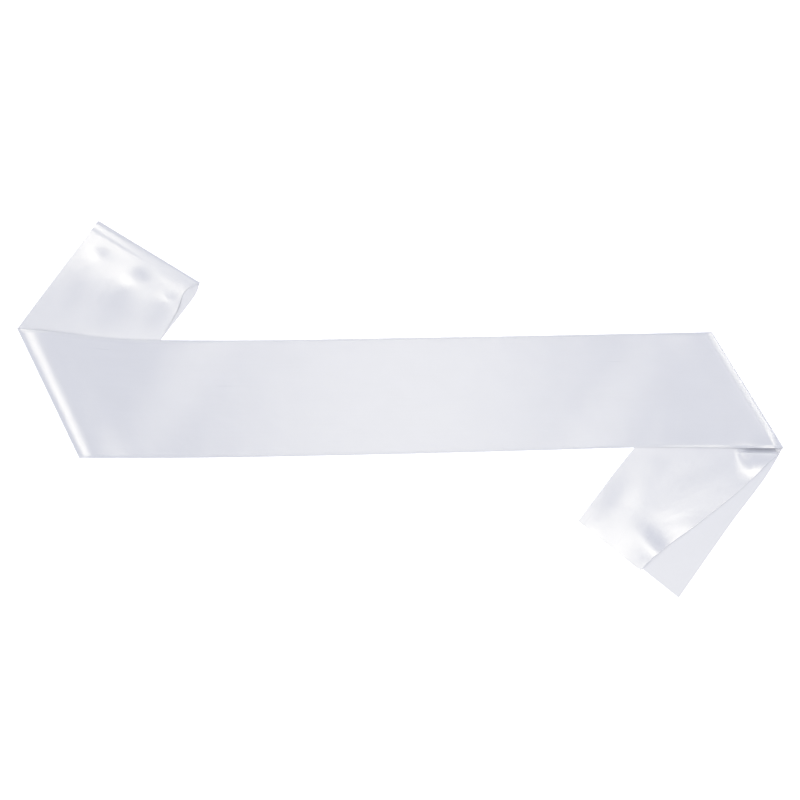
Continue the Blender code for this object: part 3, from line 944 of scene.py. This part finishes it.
# The table reaches so far each way, in so many cells, and glows so that it stays white
TABLE_REACH = 12.0
TABLE_CELLS = 8
TABLE_FINISH = {
    "Roughness": 0.9,
    "Specular IOR Level": 0.1,
    "Emission Color": (1.0, 1.0, 1.0, 1.0),
    "Emission Strength": 0.75,
}
# The camera shows nothing nearer than this
NEAREST_SEEN = 0.01


def add_lamp(lamp, strength):
    """A soft rectangular lamp, its wide side level."""
    data = bpy.data.lights.new(lamp.name, "AREA")
    data.shape = "RECTANGLE"
    data.size, data.size_y = lamp.wide, lamp.long
    data.energy = lamp.power * strength
    data.color = LAMP_COLOUR
    turn, tilt = math.radians(lamp.turn), math.radians(lamp.tilt)
    piece = bpy.data.objects.new(lamp.name, data)
    reach = lamp.away * math.sin(tilt)
    piece.location = (reach * math.cos(turn), reach * math.sin(turn), lamp.away * math.cos(tilt))
    piece.rotation_euler = (tilt, 0.0, turn + math.pi / 2)
    bpy.context.scene.collection.objects.link(piece)


class SASH_OT_stage(Operator):
    """Adds the table, the soft lamps and the camera straight above"""

    bl_idname = "sash.stage"
    bl_label = "Studio"

    def execute(self, context):
        scene = context.scene
        stage, colours = scene.sash_stage, scene.sash_colours
        mesh = bpy.data.meshes.new("table")
        bm = bmesh.new()
        bmesh.ops.create_grid(bm, x_segments=TABLE_CELLS, y_segments=TABLE_CELLS, size=TABLE_REACH)
        bm.to_mesh(mesh)
        bm.free()
        table = bpy.data.objects.new("table", mesh)
        scene.collection.objects.link(table)
        material = bpy.data.materials.new("white_table")
        material.use_nodes = True
        shader = material.node_tree.nodes["Principled BSDF"]
        shader.inputs["Base Color"].default_value = (*colours.floor, 1.0)
        for label, value in TABLE_FINISH.items():
            shader.inputs[label].default_value = value
        mesh.materials.append(material)

        camera = bpy.data.cameras.new("camera")
        camera.lens = stage.lens
        camera.clip_start = NEAREST_SEEN
        eye = bpy.data.objects.new("camera", camera)
        eye.location = (0.0, stage.view_back, stage.view_width * stage.lens / camera.sensor_width)
        scene.collection.objects.link(eye)
        scene.camera = eye

        world = bpy.data.worlds.new("studio")
        world.use_nodes = True
        sky = world.node_tree.nodes["Background"]
        sky.inputs["Color"].default_value = SKY_COLOUR
        sky.inputs["Strength"].default_value = stage.ambient
        scene.world = world
        for lamp in LAMPS:
            add_lamp(lamp, stage.lamp_power)
        scene.view_settings.view_transform = "Standard"
        return {"FINISHED"}


class SASH_PT_panel(Panel):
    """The sash's sizes, colours and steps"""

    bl_label = "Satin sash"
    bl_idname = "SASH_PT_panel"
    bl_space_type = "VIEW_3D"
    bl_region_type = "UI"
    bl_category = "Satin sash"

    def draw(self, context):
        """Lists every property, then a button for each step."""
        for group in (context.scene.sash_cloth, context.scene.sash_colours, context.scene.sash_stage):
            box = self.layout.box()
            for name in group.__annotations__:
                box.prop(group, name)
        for step in STEPS:
            self.layout.operator(step)


GROUPS = (("sash_cloth", SashCloth), ("sash_colours", SashColours), ("sash_stage", SashStage))
OPERATORS = (SASH_OT_back_band, SASH_OT_front_band, SASH_OT_left_end, SASH_OT_tails, SASH_OT_stage)
STEPS = [operator.bl_idname for operator in OPERATORS]


def register():
    """Adds the settings, the steps and the panel to Blender."""
    for name, group in GROUPS:
        bpy.utils.register_class(group)
        setattr(bpy.types.Scene, name, PointerProperty(type=group))
    for operator in (*OPERATORS, SASH_PT_panel):
        bpy.utils.register_class(operator)


def unregister():
    """Takes the panel, the steps and the settings away again."""
    for operator in (SASH_PT_panel, *reversed(OPERATORS)):
        bpy.utils.unregister_class(operator)
    for name, group in reversed(GROUPS):
        delattr(bpy.types.Scene, name)
        bpy.utils.unregister_class(group)


def main():
    """Builds the sash and its studio."""
    register()
    bpy.ops.sash.back_band()
    bpy.ops.sash.front_band()
    bpy.ops.sash.left_end()
    bpy.ops.sash.tails()
    bpy.ops.sash.stage()


if __name__ == "__main__":
    main()
